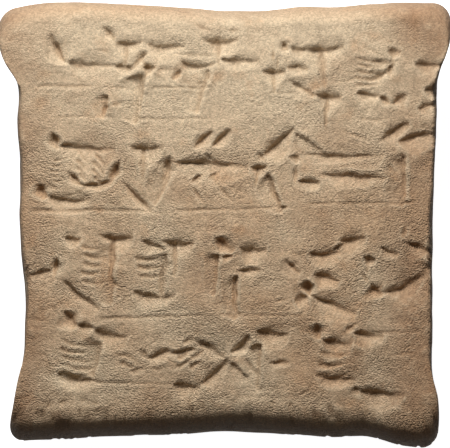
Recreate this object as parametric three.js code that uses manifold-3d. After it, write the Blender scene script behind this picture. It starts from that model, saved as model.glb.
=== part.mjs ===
// A small square clay tablet, written on while the clay was damp and then dried: one solid lump of clay.
// Millimetres, +Z up. The tablet lies on its back with the written face up and +Y at the top of the writing.
// The origin is on the surface it lies on, under the middle of the tablet.
import * as THREE from "three";
import { mergeVertices } from "three/addons/utils/BufferGeometryUtils.js";
import Module from "manifold-3d";

// ---- The lump of clay ----
const HALF_SPAN = 22; // half the nominal square that the edges wander about
const WAIST_HEIGHT = 8.2; // where the side walls stand out furthest
const FACE_RISE = 7; // from the waist up to the rim of the written face
const FACE_CROWN = 0.8; // how much the middle of the written face swells above its rim
const FACE_EDGE_INSET = 2.2; // how far in from the outline the written face starts
const BACK_EDGE_INSET = 7; // the same for the flat of the back
const FACE_EDGE_POWER = 2.3; // 2 is an ellipse, more is a fuller edge
const BACK_EDGE_POWER = 2.2;
const CORNER_RADIUS = 1.9; // of the outline, seen from above
const FACE_CORNER_RADIUS = 3.4; // of the written face's own rim
const BACK_CORNER_RADIUS = 6;
const FACE_CELLS = 20; // grid cells along each side of the face
const WALL_CELLS = 8; // rings of cells from the face down to the back
const CORNER_CROWDING = 0.35; // 0 spaces the cells evenly, more draws them towards the corners
const MERGE_DISTANCE = 1e-4; // points closer than this are one point

// How far each edge lies from the middle, read at even steps along it. The corners flare into ears.
const LEFT_EDGE = [21.4, 20.9, 20.2, 19.9, 19.8, 20.05, 20.4, 20.4, 20.35, 20.55, 20.6, 22.3, 22.4];
const RIGHT_EDGE = [21.1, 21.1, 20.5, 20.55, 20.55, 20.6, 20.5, 20.75, 20.85, 21.0, 21.1, 22.25, 22.3];
const BOTTOM_EDGE = [21.6, 21.4, 21.3, 21.2, 21.05, 20.95, 20.65, 20.75, 21.05, 21.4, 21.2, 22.1, 22.4];
const TOP_EDGE = [21.3, 21.85, 22.2, 22.05, 21.75, 21.5, 21.1, 21.2, 21.65, 21.5, 21.9, 22.05, 22.0];

// ---- The stylus marks ----
// Each was pressed with the corner of a reed: deepest at its head, with a tail that runs out to nothing.
const LEVEL_WIDTH = 2.9; // width of a mark for each millimetre of its depth
const UPRIGHT_WIDTH = 3.6; // uprights were pressed with the reed held flatter
const KEEL_LEAN = 0.6; // how far the deepest line leans towards one side, as a share of the half width
const CUT_CLEARANCE = 2; // how far a mark's cutter stands up out of the clay
// Cross-sections of a mark along its length, as shares of its length, width and depth.
const MARK_SECTIONS = [
  { reach: 0, spread: 0.6, sink: 0.03 },
  { reach: 0.12, spread: 1, sink: 1 },
  { reach: 0.5, spread: 0.6, sink: 0.6 },
  { reach: 1, spread: 0.05, sink: 0.04 },
];

// The larger marks, line by line from the top.
const LINES = [
  [
    slanted(-16.6, 18.6, -62, 4.2, 0.6),
    level(-15.4, 16.0, 6.4, 0.8),
    level(-10.6, 18.4, 4.6, 0.8),
    upright(-7.8, 15.6, 6.2, 0.8),
    level(-4.4, 16.2, 4.2, 0.7),
    upright(-0.6, 18.6, 7.8, 1.0),
    level(4.4, 16.4, 3.4, 0.6),
    upright(8.4, 18.4, 6.8, 1.2),
    level(10.4, 13.0, 3.6, 0.7),
    upright(13.4, 18.2, 3.6, 0.6),
    upright(16.6, 13.8, 4.2, 0.7),
    level(17.0, 16.4, 3.4, 0.7),
  ],
  [
    level(-16.4, 8.4, 6.6, 0.9),
    upright(-8.2, 8.6, 5.4, 0.9),
    level(-17.8, 3.6, 6.2, 0.8),
    slanted(-9.8, 4.6, -42, 5.6, 0.7),
    level(-5.4, 6.6, 8.4, 1.1),
    slanted(-2.4, 8.4, 38, 3.0, 0.5),
    slanted(3.6, 8.0, 40, 4.4, 0.8),
    slanted(3.0, 4.8, -52, 4.6, 0.7),
    level(8.2, 7.0, 7.4, 0.7),
    level(9.4, 4.4, 7.2, 0.9),
    slanted(14.8, 8.8, 26, 3.4, 0.6),
    level(16.6, 5.6, 3.2, 0.7),
  ],
  [
    slanted(-17.2, -3.4, -34, 8.8, 1.1),
    upright(-11.4, -1.0, 5.6, 0.8),
    level(-8.8, -6.4, 5.2, 0.7),
    upright(-5.0, -1.4, 6.8, 0.9),
    upright(0.8, -1.6, 6.4, 0.9),
    level(3.6, -4.4, 3.4, 0.7),
    slanted(7.6, -3.4, 10, 3.8, 0.7),
    slanted(11.4, -2.0, 8, 3.4, 0.6),
    slanted(8.4, -6.6, -22, 6.0, 0.8),
    slanted(13.4, -6.0, 24, 6.4, 1.1),
    slanted(15.8, -1.0, -30, 3.6, 0.6),
  ],
  [
    slanted(-15.4, -9.8, -26, 4.4, 0.7),
    level(-11.4, -10.6, 4.0, 0.8),
    level(-16.8, -15.2, 5.6, 0.7),
    slanted(-3.8, -11.0, -36, 5.6, 0.7),
    slanted(-5.0, -15.4, 34, 5.6, 0.8),
    upright(2.6, -10.2, 5.0, 0.8),
    level(5.4, -12.6, 3.2, 0.6),
    slanted(9.0, -10.0, -12, 5.0, 0.8),
    level(12.4, -16.2, 5.8, 0.8),
    upright(16.8, -10.0, 4.6, 0.7),
  ],
];

// x and y are the head of the mark, and the heading of its tail is in degrees from +X.
function slanted(x, y, heading, length, depth) {
  return { x, y, heading, length, depth, width: depth * LEVEL_WIDTH };
}

function level(x, y, length, depth) {
  return slanted(x, y, 0, length, depth);
}

function upright(x, y, length, depth) {
  return { x, y, heading: -90, length, depth, width: depth * UPRIGHT_WIDTH };
}

// The distance of an edge from the middle, at a place from -1 to 1 along it.
function edgeCurve(steps) {
  const curve = new THREE.SplineCurve(steps.map((distance, i) => new THREE.Vector2(i, distance)));
  return (place) => curve.getPoint((THREE.MathUtils.clamp(place, -1, 1) + 1) / 2).y;
}

const leftEdge = edgeCurve(LEFT_EDGE);
const rightEdge = edgeCurve(RIGHT_EDGE);
const bottomEdge = edgeCurve(BOTTOM_EDGE);
const topEdge = edgeCurve(TOP_EDGE);

// The swell of the written face, most at the middle and nothing at the nominal edge.
function crown(x, y) {
  const across = Math.max(1 - (x / HALF_SPAN) ** 2, 0);
  const along = Math.max(1 - (y / HALF_SPAN) ** 2, 0);
  return FACE_CROWN * across * along;
}

// Height of the written face, before any mark, above a point of the plan.
function faceHeight(x, y) {
  const [u, v] = [x / HALF_SPAN, y / HALF_SPAN];
  const inset = Math.min(x + leftEdge(v), rightEdge(v) - x, y + bottomEdge(u), topEdge(u) - y);
  const short = 1 - THREE.MathUtils.clamp(inset / FACE_EDGE_INSET, 0, 1);
  const rise = (1 - short ** FACE_EDGE_POWER) ** (1 / FACE_EDGE_POWER);
  return WAIST_HEIGHT + (FACE_RISE + crown(x, y)) * rise;
}

// A point on the border of the square from -1 to 1, moved onto a border with round corners.
function roundCorner(u, v, radius) {
  const r = radius / HALF_SPAN;
  const core = new THREE.Vector2(u, v).clampScalar(r - 1, 1 - r);
  const out = new THREE.Vector2(u, v).sub(core);
  return out.length() === 0 ? core : core.add(out.setLength(r));
}

// The plan position of a point of the square, with the outline moved in by inset.
function planPoint(u, v, inset, cornerRadius) {
  const reach = Math.max(Math.abs(u), Math.abs(v)) || 1;
  const p = roundCorner(u / reach, v / reach, cornerRadius).multiplyScalar(reach);
  return new THREE.Vector2(
    THREE.MathUtils.lerp(inset - leftEdge(p.y), rightEdge(p.y) - inset, (p.x + 1) / 2),
    THREE.MathUtils.lerp(inset - bottomEdge(p.x), topEdge(p.x) - inset, (p.y + 1) / 2),
  );
}

// A point of the cube from -1 to 1, moved onto the tablet: its top becomes the face, its sides the walls.
function onTablet(u, v, w) {
  const upper = w >= 0;
  const power = upper ? FACE_EDGE_POWER : BACK_EDGE_POWER;
  const fullInset = upper ? FACE_EDGE_INSET : BACK_EDGE_INSET;
  const flatCorner = upper ? FACE_CORNER_RADIUS : BACK_CORNER_RADIUS;
  const turn = (Math.abs(w) * Math.PI) / 2; // 0 at the waist and a quarter turn on either flat
  const inset = fullInset * (1 - Math.cos(turn) ** (2 / power));
  const rise = Math.sin(turn) ** (2 / power);
  const cornerRadius = THREE.MathUtils.lerp(CORNER_RADIUS, flatCorner, inset / fullInset);
  const plan = planPoint(u, v, inset, cornerRadius);
  const climb = upper ? FACE_RISE + crown(plan.x, plan.y) : -WAIST_HEIGHT;
  return [plan.x, plan.y, WAIST_HEIGHT + climb * rise];
}

function makeBlank() {
  const cube = new THREE.BoxGeometry(2, 2, 2, FACE_CELLS, FACE_CELLS, WALL_CELLS);
  const position = cube.getAttribute("position");
  const crowd = (t) => t * (1 + CORNER_CROWDING * (1 - t * t));
  for (let i = 0; i < position.count; i++) {
    const [u, v] = [crowd(position.getX(i)), crowd(position.getY(i))];
    position.setXYZ(i, ...onTablet(u, v, position.getZ(i)));
  }
  return cube;
}

// The solid that one mark takes out of the clay: a leaning V below, with straight sides up into the air.
function markCutter({ x, y, heading, length, depth, width }) {
  const angle = THREE.MathUtils.degToRad(heading);
  const along = new THREE.Vector2(Math.cos(angle), Math.sin(angle));
  const across = new THREE.Vector2(-along.y, along.x);
  const vertices = [];
  for (const { reach, spread, sink } of MARK_SECTIONS) {
    const half = (width / 2) * spread;
    const middle = new THREE.Vector2(x, y).addScaledVector(along, reach * length);
    const [left, keel, right] = [half, KEEL_LEAN * half, -half].map((offset) => {
      const p = middle.clone().addScaledVector(across, offset);
      return new THREE.Vector3(p.x, p.y, faceHeight(p.x, p.y));
    });
    keel.z -= depth * sink;
    const raised = [right, left].map((p) => p.clone().setZ(p.z + CUT_CLEARANCE));
    vertices.push(left, keel, right, ...raised);
  }
  return closedTube(vertices, vertices.length / MARK_SECTIONS.length);
}

// A closed surface through rings of points that follow one another, with a flat fan at each end.
function closedTube(vertices, ringSize) {
  const index = [];
  const last = vertices.length - ringSize;
  for (let ring = 0; ring < last; ring += ringSize) {
    for (let i = 0; i < ringSize; i++) {
      const [a, b] = [ring + i, ring + ((i + 1) % ringSize)];
      index.push(a, a + ringSize, b, b, a + ringSize, b + ringSize);
    }
  }
  for (let i = 1; i + 1 < ringSize; i++) {
    index.push(0, i, i + 1);
    index.push(last, last + i + 1, last + i);
  }
  return new THREE.BufferGeometry().setFromPoints(vertices).setIndex(index);
}

const wasm = await Module();
wasm.setup();

function toSolid(geometry) {
  geometry.deleteAttribute("normal");
  geometry.deleteAttribute("uv");
  const merged = mergeVertices(geometry, MERGE_DISTANCE);
  const vertProperties = new Float32Array(merged.getAttribute("position").array);
  const triVerts = new Uint32Array(merged.getIndex().array);
  return new wasm.Manifold(new wasm.Mesh({ numProp: 3, vertProperties, triVerts }));
}

function toGeometry(solid) {
  const mesh = solid.getMesh();
  const geometry = new THREE.BufferGeometry();
  geometry.setAttribute("position", new THREE.BufferAttribute(mesh.vertProperties, 3));
  geometry.setIndex(new THREE.BufferAttribute(mesh.triVerts, 1));
  geometry.computeVertexNormals();
  return geometry;
}

function makeTablet() {
  let clay = toSolid(makeBlank());
  for (const mark of LINES.flat()) clay = clay.subtract(toSolid(markCutter(mark)));
  const dryClay = new THREE.MeshStandardMaterial({ color: 0xcbb18f, roughness: 0.92, metalness: 0 });
  const tablet = new THREE.Mesh(toGeometry(clay), dryClay);
  tablet.name = "tablet";
  return tablet;
}

const part = new THREE.Group();
part.add(makeTablet());
export default part;
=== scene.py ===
"""A small square clay tablet covered in lines of stylus marks, lying on its back on a pale floor."""

import math
from collections import namedtuple

import bpy
import numpy as np
from bpy.props import FloatProperty, FloatVectorProperty, IntProperty, PointerProperty
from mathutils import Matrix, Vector


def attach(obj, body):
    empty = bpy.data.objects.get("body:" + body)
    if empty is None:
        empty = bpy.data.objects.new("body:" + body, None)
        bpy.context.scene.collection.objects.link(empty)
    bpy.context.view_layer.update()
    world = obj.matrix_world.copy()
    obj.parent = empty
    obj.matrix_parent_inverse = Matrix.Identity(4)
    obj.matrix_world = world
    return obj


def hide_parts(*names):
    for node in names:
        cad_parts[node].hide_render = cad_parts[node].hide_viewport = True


bl_info = {
    "name": "Clay tablet maker",
    "version": (1, 0, 0),
    "blender": (4, 5, 0),
    "location": "3D View > Sidebar > Clay tablet",
    "description": "Shapes a small clay tablet, presses stylus marks into its face and sets it on a floor",
    "category": "Add Mesh",
}

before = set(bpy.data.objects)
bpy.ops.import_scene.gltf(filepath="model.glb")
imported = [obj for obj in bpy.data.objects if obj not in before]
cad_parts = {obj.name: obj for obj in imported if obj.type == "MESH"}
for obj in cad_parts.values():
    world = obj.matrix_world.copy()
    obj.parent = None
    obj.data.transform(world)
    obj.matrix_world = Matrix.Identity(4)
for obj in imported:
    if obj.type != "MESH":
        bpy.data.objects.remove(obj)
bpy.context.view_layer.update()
MM = 0.001
RAY_LENGTH = 0.1  # farther than any two points of the tablet are apart
RIM_DROP = 2 * MM  # how far below the rim a mark that runs over it is still laid on the clay
FLOOR_REACH = 1.5  # from the middle of the floor to its edges
KEY_COLOUR = (1.0, 0.98, 0.96)
FILL_COLOUR = (1.0, 0.8, 0.6)
GRID_CROWDING = 0.12  # how much smaller the face's cells are in its middle than on average

# ---- The outline ----
HALF_SPAN = 22 * MM  # half the nominal square that the edges wander about
# How far each edge lies from the middle, in millimetres at even steps along it. The corners flare.
LEFT_EDGE = (21.4, 20.9, 20.2, 19.9, 19.8, 20.05, 20.4, 20.4, 20.35, 20.55, 20.6, 22.3, 22.4)
RIGHT_EDGE = (21.1, 21.1, 20.5, 20.55, 20.55, 20.6, 20.5, 20.75, 20.85, 21.0, 21.1, 22.25, 22.3)
BOTTOM_EDGE = (21.6, 21.4, 21.3, 21.2, 21.05, 20.95, 20.65, 20.75, 21.05, 21.4, 21.2, 22.1, 22.4)
TOP_EDGE = (21.3, 21.85, 22.2, 22.05, 21.75, 21.5, 21.1, 21.2, 21.65, 21.5, 21.9, 22.05, 22.0)


def linear(hex_colour):
    """An sRGB hex value as linear red, green and blue."""
    parts = [int(hex_colour[i : i + 2], 16) / 255 for i in (1, 3, 5)]
    return tuple(c / 12.92 if c <= 0.04045 else ((c + 0.055) / 1.055) ** 2.4 for c in parts)


def add_node(tree, kind, inputs=None, **settings):
    """Adds a node, gives it its settings, and links or sets its inputs, named or numbered."""
    node = tree.nodes.new(kind)
    for name, value in settings.items():
        setattr(node, name, value)
    for key, value in (inputs or {}).items():
        socket = node.inputs[key]
        if isinstance(value, bpy.types.Node):
            value = next(out for out in value.outputs if out.enabled)
        if isinstance(value, bpy.types.NodeSocket):
            tree.links.new(value, socket)
        else:
            socket.default_value = value
    return node


# ---------------------------------------------------------------------------------------------
# Sizes and colours
# ---------------------------------------------------------------------------------------------


class TabletShape(bpy.types.PropertyGroup):
    """The lump of clay before it is written on."""

    waist_height: FloatProperty(
        name="Waist height",
        description="Height at which the side walls stand out furthest",
        default=8.2 * MM,
        unit="LENGTH",
    )
    face_rise: FloatProperty(
        name="Face rise",
        description="From the waist up to the rim of the written face",
        default=7.0 * MM,
        unit="LENGTH",
    )
    face_crown: FloatProperty(
        name="Face crown",
        description="How much the middle of the written face swells above its rim",
        default=0.8 * MM,
        unit="LENGTH",
    )
    face_side_inset: FloatProperty(
        name="Face side inset",
        description="How far in from the left and right of the outline the written face starts",
        default=0.7 * MM,
        unit="LENGTH",
    )
    face_top_inset: FloatProperty(
        name="Face top inset",
        description="How far in from the top of the outline the written face starts",
        default=2.0 * MM,
        unit="LENGTH",
    )
    face_bottom_inset: FloatProperty(
        name="Face bottom inset",
        description="How far in from the bottom of the outline the written face starts",
        default=3.2 * MM,
        unit="LENGTH",
    )
    back_edge_inset: FloatProperty(
        name="Back edge inset",
        description="How far in from the outline the flat of the back starts",
        default=7.0 * MM,
        unit="LENGTH",
    )
    face_edge_power: FloatProperty(
        name="Face edge fullness",
        description="2 rounds the edge as an ellipse, more makes it fuller",
        default=2.3,
    )
    back_edge_power: FloatProperty(
        name="Back edge fullness",
        description="2 rounds the edge as an ellipse, more makes it fuller",
        default=2.2,
    )
    corner_radius: FloatProperty(
        name="Corner radius",
        description="Radius of the outline's corners, seen from above",
        default=1.6 * MM,
        unit="LENGTH",
    )
    face_corner_radius: FloatProperty(
        name="Face corner radius",
        description="Radius of the corners of the written face",
        default=3.4 * MM,
        unit="LENGTH",
    )
    back_corner_radius: FloatProperty(
        name="Back corner radius",
        description="Radius of the corners of the flat back",
        default=6.0 * MM,
        unit="LENGTH",
    )
    face_cells: IntProperty(
        name="Face cells",
        description="Grid cells along each side of the face, a multiple of the back's coarseness",
        default=284,
    )
    back_coarseness: IntProperty(
        name="Back coarseness",
        description="How many cells of the face one cell of the back is as wide as",
        default=4,
    )
    upper_rings: IntProperty(
        name="Upper wall rings",
        description="Rings of cells from the face down to the waist",
        default=7,
    )
    lower_rings: IntProperty(
        name="Lower wall rings",
        description="Rings of cells from the waist down to the back",
        default=4,
    )


class MarkShape(bpy.types.PropertyGroup):
    """How the stylus marks sit in the clay."""

    lip_share: FloatProperty(
        name="Lip",
        description="Height of the clay pushed up beside a mark, as a share of the depth around it",
        default=0.4,
    )
    lip_reach: IntProperty(
        name="Lip reach",
        description="How many rounds of smoothing spread the pushed-up clay",
        default=24,
    )
    burr_share: FloatProperty(
        name="Burr",
        description="Height of the thin ridge torn up right at a mark's edge, as a share of the depth there",
        default=0.5,
    )
    burr_reach: IntProperty(
        name="Burr reach",
        description="How many rounds of smoothing spread that ridge",
        default=4,
    )
    ragged_size: FloatProperty(
        name="Ragged size",
        description="Width of the small steps along the marks' torn edges",
        default=1.5 * MM,
        unit="LENGTH",
    )
    ragged_reach: FloatProperty(
        name="Ragged reach",
        description="How far those steps stray from a clean edge",
        default=0.4 * MM,
        unit="LENGTH",
    )
    pressure: FloatProperty(
        name="Pressure",
        description="How deep the fine marks go, as a share of the depths laid out for them",
        default=0.28,
    )
    shaping_pressure: FloatProperty(
        name="Shaping pressure",
        description="How deep the broad marks under them go, as a share of the depths laid out for them",
        default=0.52,
    )
    scratch_count: IntProperty(
        name="Scratches",
        description="Fine scratches strewn over the face",
        default=46,
    )
    scratch_seed: IntProperty(
        name="Scratch seed",
        description="Seed of the scratches' places",
        default=11,
    )


class ClaySurface(bpy.types.PropertyGroup):
    """The wear of the clay and its colours."""

    lump_size: FloatProperty(
        name="Lump size",
        description="Width of the gentle lumps left by shaping the tablet by hand",
        default=7.0 * MM,
        unit="LENGTH",
    )
    lump_height: FloatProperty(
        name="Lump height",
        description="Height of those lumps",
        default=0.7 * MM,
        unit="LENGTH",
    )
    dent_size: FloatProperty(
        name="Dent size",
        description="Width of the small dents between the marks",
        default=2.2 * MM,
        unit="LENGTH",
    )
    dent_depth: FloatProperty(
        name="Dent depth",
        description="Depth of those dents",
        default=0.32 * MM,
        unit="LENGTH",
    )
    grain_size: FloatProperty(
        name="Grain size",
        description="Width of the sandy roughness that the mesh holds",
        default=0.7 * MM,
        unit="LENGTH",
    )
    grain_depth: FloatProperty(
        name="Grain depth",
        description="Depth of that roughness",
        default=0.11 * MM,
        unit="LENGTH",
    )
    crumble_depth: FloatProperty(
        name="Crumble depth",
        description="Depth of the crumbled places along the lower margin",
        default=0.22 * MM,
        unit="LENGTH",
    )
    buff: FloatVectorProperty(
        name="Buff",
        description="Main colour of the dry clay",
        default=linear("#C3A382"),
        subtype="COLOR",
    )
    # This cream is also painted onto the top of the face and onto raised edges as painted highlight.
    cream: FloatVectorProperty(
        name="Cream",
        description="Paler colour of rubbed places",
        default=linear("#D8C4A6"),
        subtype="COLOR",
    )
    pink_brown: FloatVectorProperty(
        name="Pinkish brown",
        description="Colour of the warmer blotches",
        default=linear("#A37E5F"),
        subtype="COLOR",
    )
    orange: FloatVectorProperty(
        name="Orange",
        description="Colour of the small iron-stained spots",
        default=linear("#BC8A5E"),
        subtype="COLOR",
    )
    # This brown is painted into the deeper marks and hollows as shade.
    painted_shade_brown: FloatVectorProperty(
        name="Brown dust",
        description="Colour of the dirt in the bottoms of marks",
        default=linear("#86694C"),
        subtype="COLOR",
    )


class StudioSettings(bpy.types.PropertyGroup):
    """The floor, light and camera."""

    lens: FloatProperty(
        name="Lens",
        description="Focal length of the camera",
        default=250.0,
        unit="CAMERA",
    )
    view_width: FloatProperty(
        name="View width",
        description="Width that the camera sees at the height of the tablet's waist",
        default=44.95 * MM,
        unit="LENGTH",
    )
    key_distance: FloatProperty(
        name="Key distance",
        description="From the middle of the tablet to the main light",
        default=0.19,
        unit="LENGTH",
    )
    key_height: FloatProperty(
        name="Key height",
        description="Angle of the main light above the floor",
        default=math.radians(38),
        subtype="ANGLE",
    )
    key_turn: FloatProperty(
        name="Key turn",
        description="Angle of the main light from the top edge towards the left",
        default=math.radians(9),
        subtype="ANGLE",
    )
    key_size: FloatProperty(
        name="Key size",
        description="Side of the square main light",
        default=0.07,
        unit="LENGTH",
    )
    key_power: FloatProperty(
        name="Key power",
        description="Power of the main light in watts",
        default=0.415,
    )
    fill_distance: FloatProperty(
        name="Fill distance",
        description="From the middle of the tablet up to the soft light overhead",
        default=0.5,
        unit="LENGTH",
    )
    fill_power: FloatProperty(
        name="Fill power",
        description="Power of the overhead light in watts",
        default=0.16,
    )
    room_light: FloatProperty(
        name="Room light",
        description="Strength of the even light from all round",
        default=0.006,
    )
    floor_glow: FloatProperty(
        name="Floor glow",
        description="How much the floor shines by itself, as a lit paper sheet does",
        default=0.97,
    )


# ---------------------------------------------------------------------------------------------
# The lump of clay
# ---------------------------------------------------------------------------------------------


def edge_curve(steps):
    """A function that gives an edge's distance from the middle at places from -1 to 1 along it."""
    steps = np.array(steps) * MM
    padded = np.concatenate([steps[:1], steps, steps[-1:]])

    def distance(place):
        along = (np.clip(place, -1, 1) + 1) / 2 * (len(steps) - 1)
        i = np.minimum(along.astype(int), len(steps) - 2)
        t = along - i
        before, here, there, after = (padded[i + k] for k in range(4))
        leave, arrive = (there - before) / 2, (after - here) / 2
        cubic = 2 * (here - there) + leave + arrive
        square = 3 * (there - here) - 2 * leave - arrive
        return ((cubic * t + square) * t + leave) * t + here

    return distance


left_edge, right_edge = edge_curve(LEFT_EDGE), edge_curve(RIGHT_EDGE)
bottom_edge, top_edge = edge_curve(BOTTOM_EDGE), edge_curve(TOP_EDGE)


def plan_points(u, v, insets, corner_radius):
    """Plan positions of points of the square from -1 to 1, with the sides, bottom and top moved in."""
    side, bottom, top = insets
    reach = np.maximum(np.maximum(abs(u), abs(v)), 1e-9)
    radius = corner_radius / HALF_SPAN
    border = np.stack([u / reach, v / reach])
    core = np.clip(border, radius - 1, 1 - radius)
    out = border - core
    length = np.maximum(np.hypot(*out), 1e-9)
    x, y = (core + out / length * radius) * reach
    across, along = (x + 1) / 2, (y + 1) / 2
    return (
        (side - left_edge(y)) * (1 - across) + (right_edge(y) - side) * across,
        (bottom - bottom_edge(x)) * (1 - along) + (top_edge(x) - top) * along,
    )


def tablet_points(shape, u, v, w):
    """Points of the cube from -1 to 1 moved onto the tablet: its top becomes the written face."""
    upper = w >= 0
    power = np.where(upper, shape.face_edge_power, shape.back_edge_power)
    face_insets = (shape.face_side_inset, shape.face_bottom_inset, shape.face_top_inset)
    flat_corner = np.where(upper, shape.face_corner_radius, shape.back_corner_radius)
    turn = abs(w) * math.pi / 2
    share = 1 - np.clip(np.cos(turn), 0, 1) ** (2 / power)
    rise = np.sin(turn) ** (2 / power)
    corner = shape.corner_radius + (flat_corner - shape.corner_radius) * share
    insets = [np.where(upper, inset, shape.back_edge_inset) * share for inset in face_insets]
    x, y = plan_points(u, v, insets, corner)
    crown = np.maximum(1 - (x / HALF_SPAN) ** 2, 0) * np.maximum(1 - (y / HALF_SPAN) ** 2, 0)
    climb = np.where(upper, shape.face_rise + shape.face_crown * crown, -shape.waist_height)
    return np.stack([x, y, shape.waist_height + climb * rise], axis=1)


def square_grid(cells):
    """Places of a square grid from -1 to 1, its faces, and the ring of its border points."""
    side = cells + 1
    # Cells are a little smaller in the middle, where most of the marks are.
    t = np.linspace(-1, 1, side)
    t = t * (1 - GRID_CROWDING + GRID_CROWDING * t * t)
    v, u = (g.ravel() for g in np.meshgrid(t, t, indexing="ij"))
    index = np.arange(side * side).reshape(side, side)
    faces = np.stack([index[:-1, :-1], index[:-1, 1:], index[1:, 1:], index[1:, :-1]], axis=-1)
    border = [index[0, :-1], index[:-1, -1], index[-1, :0:-1], index[:0:-1, 0]]
    return u, v, faces.reshape(-1, 4), np.concatenate(border)


def make_blank(shape):
    """The lump of clay: a fine grid on the face, rings down the walls and a coarser grid on the back."""
    u, v, faces, ring = square_grid(shape.face_cells)
    places = [np.stack([u, v, np.ones_like(u)])]
    quads = [faces]
    triangles = []
    levels = np.concatenate(
        [
            np.linspace(1, 0, shape.upper_rings, endpoint=False)[1:],
            np.linspace(0, -1, shape.lower_rings, endpoint=False),
        ]
    )
    last = ring
    count = len(u)
    for level in levels:
        here = count + np.arange(len(ring))
        places.append(np.stack([u[ring], v[ring], np.full(len(ring), level)]))
        quads.append(np.stack([last, here, np.roll(here, -1), np.roll(last, -1)], axis=1))
        last = here
        count += len(ring)
    step = shape.back_coarseness
    back_u, back_v, back_faces, back_ring = square_grid(shape.face_cells // step)
    places.append(np.stack([back_u, back_v, -np.ones_like(back_u)]))
    quads.append(back_faces[:, ::-1] + count)
    # Several fine edges of the last ring meet one edge of the back's border.
    coarse = back_ring + count
    following = np.roll(coarse, -1)
    middle = step // 2
    for i in range(step):
        near, far = np.roll(last, -i)[::step], np.roll(last, -i - 1)[::step]
        triangles.append(np.stack([near, coarse if i < middle else following, far], axis=1))
    triangles.append(np.stack([np.roll(last, -middle)[::step], coarse, following], axis=1))
    u, v, w = np.concatenate(places, axis=1)
    points = tablet_points(shape, u, v, w)
    mesh = bpy.data.meshes.new("clay_blank")
    polygons = np.concatenate(quads).tolist() + np.concatenate(triangles).tolist()
    mesh.from_pydata(points.tolist(), [], polygons)
    upward = mesh.attributes.new("upward", "FLOAT", "POINT")
    upward.data.foreach_set("value", (w > 0).astype(float))
    height = mesh.attributes.new("blank", "FLOAT", "POINT")
    height.data.foreach_set("value", points[:, 2])
    mesh.shade_smooth()
    return mesh


# ---------------------------------------------------------------------------------------------
# The stylus marks, laid out in millimetres from the middle of the face
# ---------------------------------------------------------------------------------------------

# heading is that of the tail, in degrees from +X, and bend is how far the middle swings to its left.
Mark = namedtuple("Mark", "x y heading length width depth bend tip")
LEVEL_SPREAD = 3.4  # width of a level mark for each millimetre of its depth
CREASE_SPREAD = 3.2  # width of a crease for each millimetre of its depth
HEAD_SPREAD = 4.4  # width of an upright mark's head for each millimetre of its depth
HEAD_MIDDLE = 0.45  # where the tail leaves the head, as a share of the head's length
HEAD_SAG = 0.12  # how far the middle of the head lies below its ends, as a share of its length
HEAD_SWELL = 0.7  # of the roll above an upright mark's head, as a share of the head's length
TAIL_WIDTH = 0.4  # of an upright mark's tail, as a share of the head's length
TAIL_DEPTH = 0.6  # of the tail, as a share of the head's depth
COMB_DEPTH = 0.65  # of a tooth, for each millimetre between the teeth
EVENNESS = 0.65  # below 1, shallow marks come nearer to the deep ones
UPRIGHT_PRESS = 1.0  # how much harder a mark that runs down the face was pressed than a level one
SWELL_DEPTH = 0.7  # of the swell above a mark, for each millimetre of the mark's depth
PLANE_DEPTH = 0.8  # of the plane below a mark, for each millimetre of the mark's depth
PLANE_WIDTH = 0.9  # of the plane below a mark, as a share of the swell's width

# A reed tip is one unit long, wide and deep, with its deepest line, the keel, along X. keel is where that
# line runs in the width, from -1 on the right to 1 on the left. roll, slope and brow are how the clay
# curves down into the mark over its left side, its right side and its head: 1 is straight, more is round
# at the rim, and less is round at the bottom. head is the share of the length that the head wall takes at
# the keel, and ease is how much more of it at the rims. The width grows from the share start to its full
# size at swell. taper and fall are how fast the width and the depth run out. The broad tips shape the clay
# before the fine ones mark it.
Tip = namedtuple("Tip", "keel roll slope brow head ease start swell taper fall")
TIPS = {
    "Flat tip": Tip(0.7, 1.5, 1.0, 1.5, 0.1, 0.2, 0.9, 0.15, 0.2, 0.3),
    "Swell tip": Tip(-0.85, 2.2, 1.0, 1.4, 0.4, 0.3, 0.3, 0.45, 0.3, 0.45),
    "Plane tip": Tip(0.85, 1.0, 1.0, 1.2, 0.35, 0.2, 0.5, 0.35, 0.3, 0.45),
    "Level tip": Tip(0.2, 2.3, 1.0, 1.4, 0.16, 0.2, 0.35, 0.28, 0.8, 0.6),
    "Head tip": Tip(0.28, 2.2, 1.2, 0.8, 0.4, 0.0, 0.0, 0.45, 0.9, 0.8),
    "Tail tip": Tip(0.1, 1.1, 1.1, 1.0, 0.12, 0.3, 0.7, 0.2, 0.5, 0.5),
    "Crease tip": Tip(0.2, 2.1, 1.2, 1.2, 0.45, 0.1, 0.0, 0.55, 0.5, 0.6),
    "Tooth tip": Tip(-0.25, 2.4, 1.0, 1.5, 0.12, 0.1, 0.7, 0.2, 0.45, 0.5),
    "Score tip": Tip(0.2, 1.2, 1.2, 1.2, 0.03, 0.0, 1.0, 1.0, 0.15, 0.25),
}
BROAD_TIPS = ("Flat tip", "Swell tip", "Plane tip")
FINE_TIPS = tuple(name for name in TIPS if name not in BROAD_TIPS)
FLAT_TIP, SWELL_TIP, PLANE_TIP, *FINE_KINDS = range(len(TIPS))
LEVEL_TIP, HEAD_TIP, TAIL_TIP, CREASE_TIP, TOOTH_TIP, SCORE_TIP = FINE_KINDS
BROAD_KINDS = (FLAT_TIP, SWELL_TIP, PLANE_TIP)
RIDGE_REACH = 8  # rounds of smoothing that a ridge or hollow is measured against


def broad(x, y, length, depth, heading, bend, swell):
    """The roll of clay on a mark's left, as wide as swell says, and the plane on its right."""
    if not swell:
        return []
    return [
        Mark(x, y, heading, length, swell, depth * SWELL_DEPTH, bend, SWELL_TIP),
        Mark(x, y, heading, length, swell * PLANE_WIDTH, depth * PLANE_DEPTH, bend, PLANE_TIP),
    ]


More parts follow.
